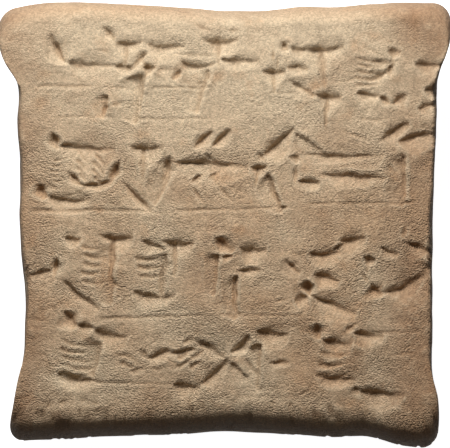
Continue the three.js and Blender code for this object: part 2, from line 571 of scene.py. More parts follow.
def level(x, y, length, depth, heading=0, bend=0, swell=0):
    """One mark with a steep upper side and a gentle lower one."""
    mark = Mark(x, y, heading, length, depth * LEVEL_SPREAD, depth, bend, LEVEL_TIP)
    return [mark, *broad(x, y, length, depth, heading, bend, swell)]


def upright(x, y, length, width, depth, heading=-90, bend=0):
    """One mark with a broad crescent head across a fine tail."""
    turn = math.radians(heading + 90)
    start = (x - math.cos(turn) * width * HEAD_MIDDLE, y - math.sin(turn) * width * HEAD_MIDDLE)
    across = depth * HEAD_SPREAD
    head = Mark(*start, heading + 90, width, across, depth, -HEAD_SAG * width, HEAD_TIP)
    tail = Mark(x, y, heading, length, width * TAIL_WIDTH, depth * TAIL_DEPTH, bend, TAIL_TIP)
    return [head, tail, *broad(*start, width, depth, heading + 90, -HEAD_SAG * width, width * HEAD_SWELL)]


def score(x, y, length, width, depth, heading=0, bend=0):
    """A shallow scored line of even width."""
    return [Mark(x, y, heading, length, width, depth, bend, SCORE_TIP)]


def flat(x, y, length, width, depth, heading=0, bend=0):
    """A shallow slope left by the flat of the reed, deepest along its left."""
    return [Mark(x, y, heading, length, width, depth, bend, FLAT_TIP)]


def crease(x, y, length, depth, heading=0, bend=0, swell=0):
    """A narrow fold in the clay."""
    mark = Mark(x, y, heading, length, depth * CREASE_SPREAD, depth, bend, CREASE_TIP)
    return [mark, *broad(x, y, length, depth, heading, bend, swell)]


def comb(x, y, teeth, pitch, length, heading=0, fan=0, bend=0):
    """Short marks one under another, with fan degrees from the heading of each to that of the next."""
    marks = []
    for i in range(teeth):
        turn = heading + fan * (i - (teeth - 1) / 2)
        # No two teeth start or end quite in line, and some are pressed deeper.
        depth = pitch * COMB_DEPTH * (1 + 0.25 * math.cos(2.6 * i + x))
        start, reach = x + 0.15 * math.cos(1.7 * i + y), length * (1 + 0.12 * math.sin(2.1 * i + x))
        marks.append(Mark(start, y - i * pitch, turn, reach, pitch * 1.25, depth, bend, TOOTH_TIP))
    return marks


def first_line():
    return [
        *flat(-8.0, 14.6, 5.0, 3.4, 0.4, heading=-99),
        *flat(-1.5, 15.4, 5.0, 3.2, 0.4, heading=-105),
        *crease(-11.4, 12.4, 2.4, 0.35, heading=-100),
        *flat(-11.4, 12.6, 2.4, 2.0, 0.25, heading=-100),
        *crease(-11.4, 11.5, 1.8, 0.3, heading=14),
        *crease(-17.0, 18.8, 3.6, 0.55, heading=-64, bend=-0.2, swell=2.2),
        *level(-15.8, 15.9, 5.4, 0.75, heading=-4, bend=-0.2, swell=3.6),
        *crease(-11.9, 19.6, 2.4, 0.4, heading=-55, swell=1.4),
        *crease(-13.6, 16.9, 3.4, 0.2, heading=-2),
        *upright(-9.7, 17.9, 3.0, 3.0, 0.75),
        *level(-8.1, 17.8, 4.4, 0.75, heading=-5, bend=-0.4, swell=2.6),
        *crease(-11.3, 15.7, 2.8, 0.6, heading=-10, bend=-0.2, swell=2.0),
        *crease(-8.3, 16.3, 1.6, 0.4, heading=-60),
        *upright(-7.6, 15.4, 5.0, 1.6, 1.3, heading=-99),
        *crease(-6.9, 15.0, 1.9, 0.4, heading=6),
        *crease(-7.4, 17.0, 2.6, 0.4, heading=-128, swell=1.4),
        *crease(-5.9, 16.6, 5.0, 0.3, heading=-1),
        *level(-4.6, 16.2, 3.9, 0.8, heading=-6, bend=-0.7, swell=1.8),
        *crease(-4.0, 15.2, 1.6, 0.4, heading=-135, swell=1.2),
        *upright(-0.6, 18.1, 3.2, 3.8, 1.05),
        *crease(0.2, 18.9, 1.2, 0.5, heading=4),
        *crease(-3.4, 19.8, 2.6, 0.35, heading=-24),
        *level(-1.0, 16.0, 4.6, 0.6, heading=-1, swell=1.6),
        *crease(4.6, 17.6, 2.4, 0.3, heading=-84),
        *crease(5.3, 18.0, 1.6, 0.6, heading=-48, swell=1.4),
        *level(6.0, 17.3, 3.0, 0.55, heading=-4, bend=-0.2, swell=1.6),
        *upright(9.4, 17.4, 4.4, 4.4, 1.05, heading=-86),
        *crease(5.8, 15.4, 2.4, 0.5, heading=-6, swell=1.2),
        *crease(5.1, 16.8, 2.4, 0.3, heading=-88),
        *upright(4.7, 15.0, 2.6, 2.4, 0.9, heading=-86),
        *crease(6.0, 14.3, 3.4, 0.5, heading=-34, swell=2.0),
        *upright(10.0, 12.6, 3.6, 2.9, 1.0, heading=-92),
        *crease(11.0, 13.8, 2.0, 0.2, heading=14),
        *comb(12.7, 16.3, 5, 0.64, 2.8, heading=-4, fan=2, bend=-0.2),
        *crease(13.9, 16.0, 2.8, 0.35, heading=-4, swell=1.2),
        *crease(16.6, 15.8, 1.7, 0.4, heading=-118, swell=1.2),
        *crease(16.0, 14.9, 2.4, 0.5, heading=-156, bend=0.2, swell=1.4),
        *crease(12.6, 17.9, 3.6, 0.25, heading=-28),
        *level(12.8, 12.8, 2.6, 0.6, heading=-8, swell=1.8),
        *crease(15.0, 12.6, 1.6, 0.5, heading=-38, swell=1.0),
        *crease(16.2, 11.6, 1.8, 0.6, heading=38, swell=1.6),
        *upright(16.5, 17.0, 1.6, 1.4, 0.6, heading=-96),
        *level(18.4, 15.6, 3.0, 0.8, heading=-2, swell=2.2),
        *level(19.4, 13.2, 2.2, 0.7, heading=-4, swell=1.8),
        *level(18.8, 11.2, 2.2, 0.5, heading=20, swell=1.6),
    ]


def second_line():
    return [
        *level(-16.7, 7.7, 6.2, 0.95, heading=-4, bend=-0.1, swell=3.6),
        *crease(-16.9, 9.1, 2.0, 0.6, heading=-72, swell=1.4),
        *comb(-17.0, 6.2, 6, 0.48, 1.5, heading=-4, fan=-6, bend=-0.1),
        *comb(-14.4, 7.0, 4, 0.66, 1.5, heading=-50),
        *comb(-12.9, 6.9, 4, 0.72, 1.7, heading=-46),
        *crease(-15.5, 5.2, 2.2, 0.6, heading=-42, swell=1.0),
        *crease(-14.4, 4.0, 3.6, 0.6, heading=4, bend=-0.3, swell=1.2),
        *crease(-10.2, 6.2, 2.4, 0.6, heading=-112, swell=1.0),
        *crease(-18.4, 4.1, 2.0, 0.75, heading=-56, swell=1.6),
        *level(-17.6, 2.9, 4.6, 0.75, heading=-6, bend=-0.4, swell=2.2),
        *crease(-10.3, 4.3, 4.6, 0.55, heading=-44, swell=2.0),
        *upright(-7.9, 7.7, 3.6, 3.8, 1.1, heading=-92),
        *upright(-7.9, 7.2, 1.6, 1.0, 1.2, heading=-90),
        *crease(-5.4, 6.6, 2.6, 0.6, heading=-104, bend=0.2, swell=1.8),
        *flat(-5.3, 5.0, 3.6, 2.4, 0.35, heading=-116),
        *level(-5.4, 6.1, 8.0, 1.1, heading=-3, bend=-0.1, swell=3.4),
        *level(-3.2, 7.4, 2.7, 0.8, heading=40, swell=1.4),
        *level(-1.4, 7.5, 2.7, 0.8, heading=40, swell=1.4),
        *crease(-2.0, 7.0, 1.8, 0.3, heading=-48),
        *level(-3.4, 4.0, 2.0, 0.7, heading=36, swell=1.0),
        *level(-1.7, 4.4, 1.9, 0.6, heading=34, swell=1.0),
        *crease(-3.3, 3.8, 2.4, 0.35, heading=-52),
        *crease(-0.8, 4.2, 2.6, 0.35, heading=-54),
        *level(3.4, 6.5, 4.4, 1.15, heading=42, bend=-0.2, swell=2.6),
        *crease(3.2, 7.2, 1.4, 0.6, heading=-58),
        *upright(3.2, 5.6, 2.0, 1.8, 0.9, heading=-95),
        *flat(4.2, 5.0, 4.2, 2.2, 0.35, heading=-70),
        *crease(4.0, 5.0, 3.6, 0.35, heading=-68),
        *flat(6.6, 9.0, 4.4, 3.2, 0.4, heading=-34),
        *crease(7.0, 7.0, 1.2, 0.7, heading=-92),
        *level(7.2, 6.8, 8.4, 0.65, heading=-1, bend=-0.1, swell=3.4),
        *level(9.1, 4.9, 6.8, 0.9, heading=-4, swell=1.8),
        *crease(7.0, 4.2, 2.4, 0.7, heading=-6, swell=1.4),
        *crease(7.0, 5.9, 2.0, 0.4, heading=-94),
        *crease(10.6, 9.4, 4.2, 0.3, heading=-20),
        *crease(15.0, 8.1, 3.6, 0.8, heading=32, swell=2.2),
        *level(16.7, 8.1, 4.2, 1.1, heading=12, swell=2.6),
        *crease(17.5, 6.9, 5.2, 0.35, heading=-88),
        *flat(17.4, 7.0, 5.4, 2.6, 0.25, heading=-90),
        *crease(15.7, 6.2, 1.8, 0.35, heading=-52),
    ]


def third_line():
    return [
        *crease(-15.9, -1.1, 2.0, 0.6, heading=-10, bend=-0.2, swell=1.4),
        *crease(-19.5, -5.0, 3.4, 0.8, heading=9, swell=2.4),
        *crease(-16.3, -3.2, 2.0, 0.55, heading=-98, swell=1.4),
        *crease(-16.2, -4.9, 5.4, 0.7, heading=-40, bend=-0.3, swell=3.2),
        *comb(-14.0, -2.1, 5, 0.84, 2.2, heading=-3, fan=1, bend=-0.28),
        *upright(-10.8, -1.1, 3.6, 3.6, 1.0, heading=-94),
        *flat(-10.9, -1.6, 6.4, 3.0, 0.3, heading=-92),
        *crease(-10.9, -2.6, 4.0, 0.35, heading=-92),
        *crease(-11.2, -5.4, 1.4, 0.45, heading=-40),
        *level(-8.3, -1.6, 2.8, 0.6, heading=-20, swell=2.0),
        *comb(-8.7, -3.2, 3, 0.86, 2.6, heading=-2, fan=1, bend=-0.25),
        *level(-9.3, -6.4, 4.6, 0.85, heading=-6, bend=-0.5, swell=2.0),
        *upright(-4.8, -1.7, 3.6, 3.4, 1.0, heading=-92),
        *flat(-5.6, -2.6, 5.6, 3.6, 0.28, heading=-97),
        *crease(-5.9, -3.0, 4.6, 0.35, heading=-96),
        *crease(-1.0, -1.2, 2.4, 0.9, heading=-38, swell=2.0),
        *flat(-0.6, -2.8, 4.4, 1.8, 0.35, heading=-97),
        *level(1.2, -2.2, 3.0, 0.9, heading=-3, bend=-0.4, swell=2.4),
        *crease(-0.6, -3.2, 1.4, 0.5, heading=4, swell=0.9),
        *crease(0.8, -4.5, 2.7, 0.5, heading=-1, swell=1.4),
        *crease(1.1, -4.8, 4.4, 0.4, heading=-92),
        *flat(1.2, -4.9, 4.6, 2.0, 0.35, heading=-94),
        *crease(5.8, -3.2, 2.4, 0.4, heading=-50, swell=1.8),
        *level(11.0, -1.6, 2.8, 1.0, heading=8, bend=-0.2, swell=2.2),
        *flat(10.4, -2.6, 3.4, 2.0, 0.4, heading=24),
        *level(8.0, -2.9, 3.4, 0.9, heading=4, bend=-0.2, swell=2.2),
        *level(8.6, -4.9, 2.8, 1.0, heading=-14, swell=2.0),
        *crease(8.2, -5.4, 1.6, 0.8, heading=-92, swell=1.6),
        *crease(8.0, -6.8, 5.4, 0.8, heading=-23, swell=2.6),
        *crease(8.3, -6.9, 1.7, 0.7, heading=-145, swell=2.4),
        *crease(4.6, -7.7, 1.7, 0.3, heading=20),
        *upright(14.1, -3.3, 1.6, 1.3, 0.8, heading=-100),
        *crease(15.0, -2.2, 2.2, 0.45, heading=-24, swell=1.2),
        *crease(13.2, -4.4, 2.0, 0.3, heading=-60),
        *crease(14.2, -5.6, 1.8, 0.8, heading=-46, bend=-0.2, swell=2.4),
        *level(15.0, -6.7, 6.0, 1.1, heading=30, bend=-0.8, swell=3.8),
        *crease(17.2, -1.6, 3.6, 0.7, heading=-23, swell=2.0),
        *crease(17.2, -1.5, 1.5, 0.4, heading=74),
    ]


def fourth_line():
    return [
        *crease(-15.8, -8.3, 2.3, 0.8, heading=-52, swell=2.2),
        *crease(-14.6, -10.0, 1.9, 0.65, heading=-4, swell=1.8),
        *level(-13.0, -10.1, 3.8, 0.95, heading=-14, bend=-0.3, swell=2.8),
        *comb(-16.1, -11.2, 5, 0.8, 3.4, heading=-8, fan=1, bend=-0.3),
        *level(-16.7, -14.5, 4.4, 0.85, heading=-10, bend=-0.3, swell=1.8),
        *flat(-12.0, -11.2, 4.0, 2.6, 0.3, heading=-102),
        *crease(-11.0, -12.6, 2.2, 0.35, heading=-8),
        *crease(-8.4, -12.0, 1.6, 0.5, heading=-48),
        *crease(-7.9, -13.1, 3.0, 0.6, heading=14, swell=1.4),
        *crease(-5.9, -12.7, 3.4, 0.5, heading=8, swell=1.2),
        *comb(-4.8, -13.2, 2, 0.9, 1.9, heading=34),
        *comb(-3.6, -13.2, 2, 0.9, 1.8, heading=30),
        *crease(-9.8, -14.5, 2.2, 0.4, heading=12),
        *crease(-7.6, -14.0, 1.6, 0.4, heading=-6),
        *comb(-10.2, -12.6, 2, 0.9, 1.6, heading=-24),
        *crease(-4.3, -11.8, 1.5, 0.5, heading=36),
        *crease(-3.3, -11.0, 4.0, 0.6, heading=-31, swell=2.2),
        *level(-5.3, -15.5, 3.2, 0.9, heading=-4, bend=-0.3, swell=2.6),
        *crease(-3.0, -15.7, 4.2, 0.8, heading=38, bend=-0.4, swell=2.6),
        *crease(0.5, -12.6, 2.6, 0.75, heading=42, bend=-0.3, swell=1.8),
        *flat(0.4, -13.4, 4.4, 3.2, 0.35, heading=-42),
        *crease(1.9, -12.9, 2.6, 0.45, heading=-54),
        *level(2.8, -10.3, 3.6, 0.95, heading=-6, bend=-0.3, swell=2.6),
        *flat(3.5, -11.4, 5.0, 2.6, 0.35, heading=-94),
        *crease(4.2, -13.5, 2.2, 0.35, heading=-1, swell=0.9),
        *crease(8.9, -9.6, 1.8, 0.55, heading=-76, swell=1.8),
        *level(9.2, -11.1, 3.4, 0.75, heading=-10, bend=-0.3, swell=2.4),
        *crease(11.2, -10.9, 2.0, 0.5, heading=38),
        *level(12.4, -10.7, 3.2, 0.8, heading=-6, swell=2.0),
        *comb(8.9, -12.5, 3, 1.1, 3.2, heading=-1, fan=1, bend=-0.2),
        *level(8.9, -14.8, 4.0, 0.75, heading=-6, swell=1.8),
        *crease(15.6, -12.9, 3.2, 0.3, heading=8),
        *level(12.7, -16.2, 5.0, 1.05, heading=-6, bend=-0.2, swell=2.6),
        *crease(12.5, -15.7, 1.2, 0.7, heading=-62),
        *crease(6.8, -16.9, 1.8, 0.25, heading=28),
        *crease(-14.6, -18.4, 4.0, 0.3, heading=8),
    ]


def rulings():
    """The faint broken lines scored across the tablet between the lines of writing."""
    return [
        *score(-18.4, 13.5, 6.4, 0.5, 0.24),
        *score(-11.0, 13.4, 2.0, 0.4, 0.12),
        *score(-7.2, 13.3, 7.0, 0.4, 0.16),
        *score(-16.6, 10.5, 6.0, 0.4, 0.12, heading=-0.5),
        *score(-8.6, 10.3, 9.0, 0.4, 0.14, heading=-0.4),
        *score(4.4, 12.8, 4.0, 0.4, 0.12),
        *score(-19.0, 1.3, 13.0, 0.6, 0.26, heading=-0.6, bend=0.1),
        *score(-5.0, 1.3, 12.0, 0.5, 0.18, heading=1.6),
        *score(8.0, 2.0, 11.0, 0.5, 0.16, heading=0.6),
        *score(-12.4, -9.2, 11.0, 0.6, 0.26, heading=1.8),
        *score(-0.6, -8.8, 9.0, 0.5, 0.14, heading=-0.8),
        *score(14.0, -10.6, 5.4, 0.5, 0.16, heading=1),
        *score(-12.8, -15.4, 9.0, 0.5, 0.2, heading=-1.5),
        *score(1.0, -16.9, 8.0, 0.5, 0.12, heading=0.3),
        *score(13.2, 10.2, 3.4, 0.4, 0.14, heading=3),
    ]


def scratches(count, seed):
    """Fine scratches in no order, most of them near level."""
    draw = np.random.default_rng(seed)
    marks = []
    for _ in range(count):
        x, y = draw.uniform(-19, 19), draw.uniform(-18, 19)
        length, heading = draw.uniform(0.8, 3.4), draw.normal(0, 35)
        depth = draw.uniform(0.03, 0.08)
        marks += score(x, y, length, 0.35, depth, heading=heading, bend=draw.uniform(-0.2, 0.2))
    return marks


def make_marks(style):
    """A mesh of loose points, one at the head of each mark, that hold the marks' sizes."""
    marks = [*first_line(), *second_line(), *third_line(), *fourth_line(), *rulings()]
    marks += scratches(style.scratch_count, style.scratch_seed)
    mesh = bpy.data.meshes.new("mark_heads")
    mesh.from_pydata([(m.x * MM, m.y * MM, 0) for m in marks], [], [])
    pressures = {True: style.shaping_pressure, False: style.pressure}
    values = {
        "heading": [math.radians(m.heading) for m in marks],
        "length": [m.length * MM for m in marks],
        "width": [m.width * MM for m in marks],
        "depth": [
            m.depth**EVENNESS
            * pressures[m.tip in BROAD_KINDS]
            * (1 + UPRIGHT_PRESS * math.sin(math.radians(m.heading)) ** 4)
            * MM
            for m in marks
        ],
        "bend": [m.bend * MM for m in marks],
    }
    for name, column in values.items():
        mesh.attributes.new(name, "FLOAT", "POINT").data.foreach_set("value", column)
    mesh.attributes.new("tip", "INT", "POINT").data.foreach_set("value", [m.tip for m in marks])
    return mesh


def make_tip(name, tip):
    """The underside of a reed's tip, with its head at the origin and its tail towards +X."""
    along = np.concatenate([np.linspace(0, tip.head, 6), np.linspace(tip.head, 1, 15)[1:]])
    side = np.linspace(-1, 1, 21)
    a, s = (g.ravel() for g in np.meshgrid(along, side, indexing="ij"))
    # The middle column is moved onto the keel.
    s = np.where(s > 0, tip.keel + s * (1 - tip.keel), tip.keel + s * (1 + tip.keel))
    left, right = (1 - s) / (1 - tip.keel), (s + 1) / (1 + tip.keel)
    across = np.where(s > tip.keel, left**tip.roll, right**tip.slope)
    reach = tip.head + tip.ease * (1 - np.minimum(left, right))
    into = np.minimum(a / reach, 1) ** tip.brow
    out = np.clip((1 - a) / (1 - tip.head), 0, 1) ** tip.fall
    z = -across * into * out
    grown = np.minimum(tip.start + (1 - tip.start) * a / tip.swell, 1)
    half = 0.5 * grown * (1 - a) ** tip.taper
    mesh = bpy.data.meshes.new(name)
    index = np.arange(len(a)).reshape(len(along), len(side))
    faces = np.stack([index[:-1, :-1], index[1:, :-1], index[1:, 1:], index[:-1, 1:]], axis=-1)
    points = np.stack([a, (s - tip.keel) * half, z], axis=1)
    mesh.from_pydata(points.tolist(), [], faces.reshape(-1, 4).tolist())
    mesh.attributes.new("share", "FLOAT", "POINT").data.foreach_set("value", a)
    return mesh


def helper_object(name, mesh):
    """An object that only a node tree reads."""
    helper = bpy.data.objects.new(name, mesh)
    bpy.context.scene.collection.objects.link(helper)
    return helper


# ---------------------------------------------------------------------------------------------
# The node tree that presses the marks and wears the clay
# ---------------------------------------------------------------------------------------------


def add_lumps(tree, geometry, inputs):
    """Gentle lumps left by shaping the tablet by hand. Nothing moves at the flat of the back."""
    position = add_node(tree, "GeometryNodeInputPosition")
    noise = add_node(
        tree,
        "ShaderNodeTexNoise",
        {
            "Vector": position,
            "Scale": add_node(tree, "ShaderNodeMath", {0: 1.0, 1: inputs["Lump size"]}, operation="DIVIDE"),
            "Detail": 1.5,
        },
    )
    height = add_node(tree, "ShaderNodeSeparateXYZ", {0: position})
    clear = add_node(
        tree,
        "ShaderNodeMapRange",
        {"Value": height.outputs["Z"], "From Min": 0.5 * MM, "From Max": 5 * MM},
    )
    centred = add_node(tree, "ShaderNodeMath", {0: noise, 1: 0.5}, operation="SUBTRACT")
    masked = add_node(tree, "ShaderNodeMath", {0: centred, 1: clear}, operation="MULTIPLY")
    amount = add_node(tree, "ShaderNodeMath", {0: masked, 1: inputs["Lump height"]}, operation="MULTIPLY")
    offset = add_node(
        tree,
        "ShaderNodeVectorMath",
        {0: add_node(tree, "GeometryNodeInputNormal"), "Scale": amount},
        operation="SCALE",
    )
    return add_node(tree, "GeometryNodeSetPosition", {"Geometry": geometry, "Offset": offset})


def add_tips(tree, surface, inputs, names):
    """Reed tips of these kinds set on the mark heads, turned, bent and laid on the surface."""
    heads = add_node(tree, "GeometryNodeObjectInfo", {"Object": inputs["Marks"]})
    values = {
        name: add_node(tree, "GeometryNodeInputNamedAttribute", {"Name": name}, data_type="FLOAT")
        for name in ("heading", "length", "width", "depth", "bend", "share")
    }
    tip = add_node(tree, "GeometryNodeInputNamedAttribute", {"Name": "tip"}, data_type="INT")
    sizes = {i: values[name] for i, name in enumerate(("length", "width", "depth"))}
    size = add_node(tree, "ShaderNodeCombineXYZ", sizes)
    turn = add_node(tree, "ShaderNodeCombineXYZ", {"Z": values["heading"]})
    rotation = add_node(tree, "FunctionNodeEulerToRotation", {0: turn})
    join = add_node(tree, "GeometryNodeJoinGeometry")
    for name in names:
        kind = list(TIPS).index(name)
        shape = add_node(tree, "GeometryNodeObjectInfo", {"Object": inputs[name]})
        chosen = add_node(
            tree, "FunctionNodeCompare", {2: tip, 3: kind}, data_type="INT", operation="EQUAL"
        )
        placed = add_node(
            tree,
            "GeometryNodeInstanceOnPoints",
            {
                "Points": heads.outputs["Geometry"],
                "Selection": chosen,
                "Instance": shape.outputs["Geometry"],
                "Rotation": rotation,
                "Scale": size,
            },
        )
        tree.links.new(placed.outputs[0], join.inputs[0])
    tips = add_node(tree, "GeometryNodeRealizeInstances", {"Geometry": join})
    rest = add_node(tree, "ShaderNodeMath", {0: 1.0, 1: values["share"]}, operation="SUBTRACT")
    arch = add_node(tree, "ShaderNodeMath", {0: rest, 1: values["share"]}, operation="MULTIPLY")
    swing = add_node(tree, "ShaderNodeMath", {0: arch, 1: values["bend"]}, operation="MULTIPLY")
    full_swing = add_node(tree, "ShaderNodeMath", {0: swing, 1: 4.0}, operation="MULTIPLY")
    sideways = add_node(tree, "ShaderNodeCombineXYZ", {"Y": full_swing})
    turned = add_node(
        tree,
        "ShaderNodeVectorRotate",
        {"Vector": sideways, "Angle": values["heading"]},
        rotation_type="Z_AXIS",
    )
    bent = add_node(tree, "GeometryNodeSetPosition", {"Geometry": tips, "Offset": turned})
    # Each point is let down onto the clay, but no lower than a little way over the rim.
    place = add_node(tree, "ShaderNodeSeparateXYZ", {0: add_node(tree, "GeometryNodeInputPosition")})
    above = add_node(
        tree, "ShaderNodeCombineXYZ", {0: place.outputs["X"], 1: place.outputs["Y"], 2: inputs["Top"]}
    )
    below = add_node(
        tree,
        "GeometryNodeRaycast",
        {
            "Target Geometry": surface,
            "Source Position": above,
            "Ray Direction": (0, 0, -1),
            "Ray Length": RAY_LENGTH,
        },
    )
    landed = add_node(tree, "ShaderNodeSeparateXYZ", {0: below.outputs["Hit Position"]})
    kept = add_node(
        tree, "ShaderNodeMath", {0: landed.outputs["Z"], 1: inputs["Lowest"]}, operation="MAXIMUM"
    )
    ground = add_node(
        tree,
        "GeometryNodeSwitch",
        {"Switch": below.outputs["Is Hit"], "False": inputs["Lowest"], "True": kept},
        input_type="FLOAT",
    )
    lift = add_node(tree, "ShaderNodeCombineXYZ", {"Z": ground})
    return add_node(tree, "GeometryNodeSetPosition", {"Geometry": bent, "Offset": lift})


def press_marks(tree, surface, tips, inputs):
    """The clay is pushed down to the underside of the tips, and rises in a lip beside them."""
    position = add_node(tree, "GeometryNodeInputPosition")
    place = add_node(tree, "ShaderNodeSeparateXYZ", {0: position})
    # The edges of a mark tear a little, so each point is pressed as if it lay slightly to one side.
    steps = add_node(
        tree,
        "ShaderNodeTexNoise",
        {
            "Vector": position,
            "Scale": add_node(tree, "ShaderNodeMath", {0: 1.0, 1: inputs["Ragged size"]}, operation="DIVIDE"),
            "Detail": 2.0,
        },
    )
    both_ways = add_node(
        tree, "ShaderNodeVectorMath", {0: steps.outputs["Color"], 1: (0.5, 0.5, 0.5)}, operation="SUBTRACT"
    )
    stray = add_node(
        tree, "ShaderNodeVectorMath", {0: both_ways, "Scale": inputs["Ragged reach"]}, operation="SCALE"
    )
    moved = add_node(tree, "ShaderNodeVectorMath", {0: position, 1: stray}, operation="ADD")
    under = add_node(tree, "ShaderNodeVectorMath", {0: moved, 1: (1, 1, 0)}, operation="MULTIPLY")
    above = add_node(
        tree,
        "GeometryNodeRaycast",
        {
            "Target Geometry": tips,
            "Source Position": under,
            "Ray Direction": (0, 0, 1),
            "Ray Length": RAY_LENGTH,
        },
    )
    hit = add_node(tree, "ShaderNodeSeparateXYZ", {0: above.outputs["Hit Position"]})
    gap = add_node(
        tree, "ShaderNodeMath", {0: place.outputs["Z"], 1: hit.outputs["Z"]}, operation="SUBTRACT"
    )
    depth = add_node(tree, "ShaderNodeMath", {0: gap, 1: 0.0}, operation="MAXIMUM")
    found = add_node(
        tree,
        "GeometryNodeSwitch",
        {"Switch": above.outputs["Is Hit"], "False": 0.0, "True": depth},
        input_type="FLOAT",
    )
    upward = add_node(tree, "GeometryNodeInputNamedAttribute", {"Name": "upward"}, data_type="FLOAT")
    pressed = add_node(tree, "ShaderNodeMath", {0: found, 1: upward}, operation="MULTIPLY")
    stored = add_node(
        tree,
        "GeometryNodeStoreNamedAttribute",
        {"Geometry": surface, "Name": "pressed", "Value": pressed},
        data_type="FLOAT",
        domain="POINT",
    )
    taken = add_node(tree, "GeometryNodeInputNamedAttribute", {"Name": "pressed"}, data_type="FLOAT")
    spread = add_node(
        tree,
        "GeometryNodeBlurAttribute",
        {"Value": taken, "Iterations": inputs["Lip reach"]},
        data_type="FLOAT",
    )
    beside = add_node(tree, "ShaderNodeMath", {0: spread, 1: taken}, operation="SUBTRACT")
    raised = add_node(tree, "ShaderNodeMath", {0: beside, 1: 0.0}, operation="MAXIMUM")
    # The pushed-up clay is crumbly, higher in one place than in the next.
    crumbs = add_node(
        tree,
        "ShaderNodeMapRange",
        {"Value": steps, "From Min": 0.3, "From Max": 0.7, "To Min": 0.1, "To Max": 1.9},
    )
    crumbly = add_node(tree, "ShaderNodeMath", {0: raised, 1: crumbs}, operation="MULTIPLY")
    lip = add_node(tree, "ShaderNodeMath", {0: crumbly, 1: inputs["Lip share"]}, operation="MULTIPLY")
    near = add_node(
        tree,
        "GeometryNodeBlurAttribute",
        {"Value": taken, "Iterations": inputs["Burr reach"]},
        data_type="FLOAT",
    )
    edge = add_node(tree, "ShaderNodeMath", {0: near, 1: taken}, operation="SUBTRACT")
    ridge = add_node(tree, "ShaderNodeMath", {0: edge, 1: 0.0}, operation="MAXIMUM")
    ragged = add_node(tree, "ShaderNodeMath", {0: ridge, 1: crumbs}, operation="MULTIPLY")
    burr = add_node(tree, "ShaderNodeMath", {0: ragged, 1: inputs["Burr share"]}, operation="MULTIPLY")
    both = add_node(tree, "ShaderNodeMath", {0: lip, 1: burr}, operation="ADD")
    change = add_node(tree, "ShaderNodeMath", {0: both, 1: taken}, operation="SUBTRACT")
    offset = add_node(tree, "ShaderNodeCombineXYZ", {"Z": change})
    return add_node(tree, "GeometryNodeSetPosition", {"Geometry": stored, "Offset": offset})


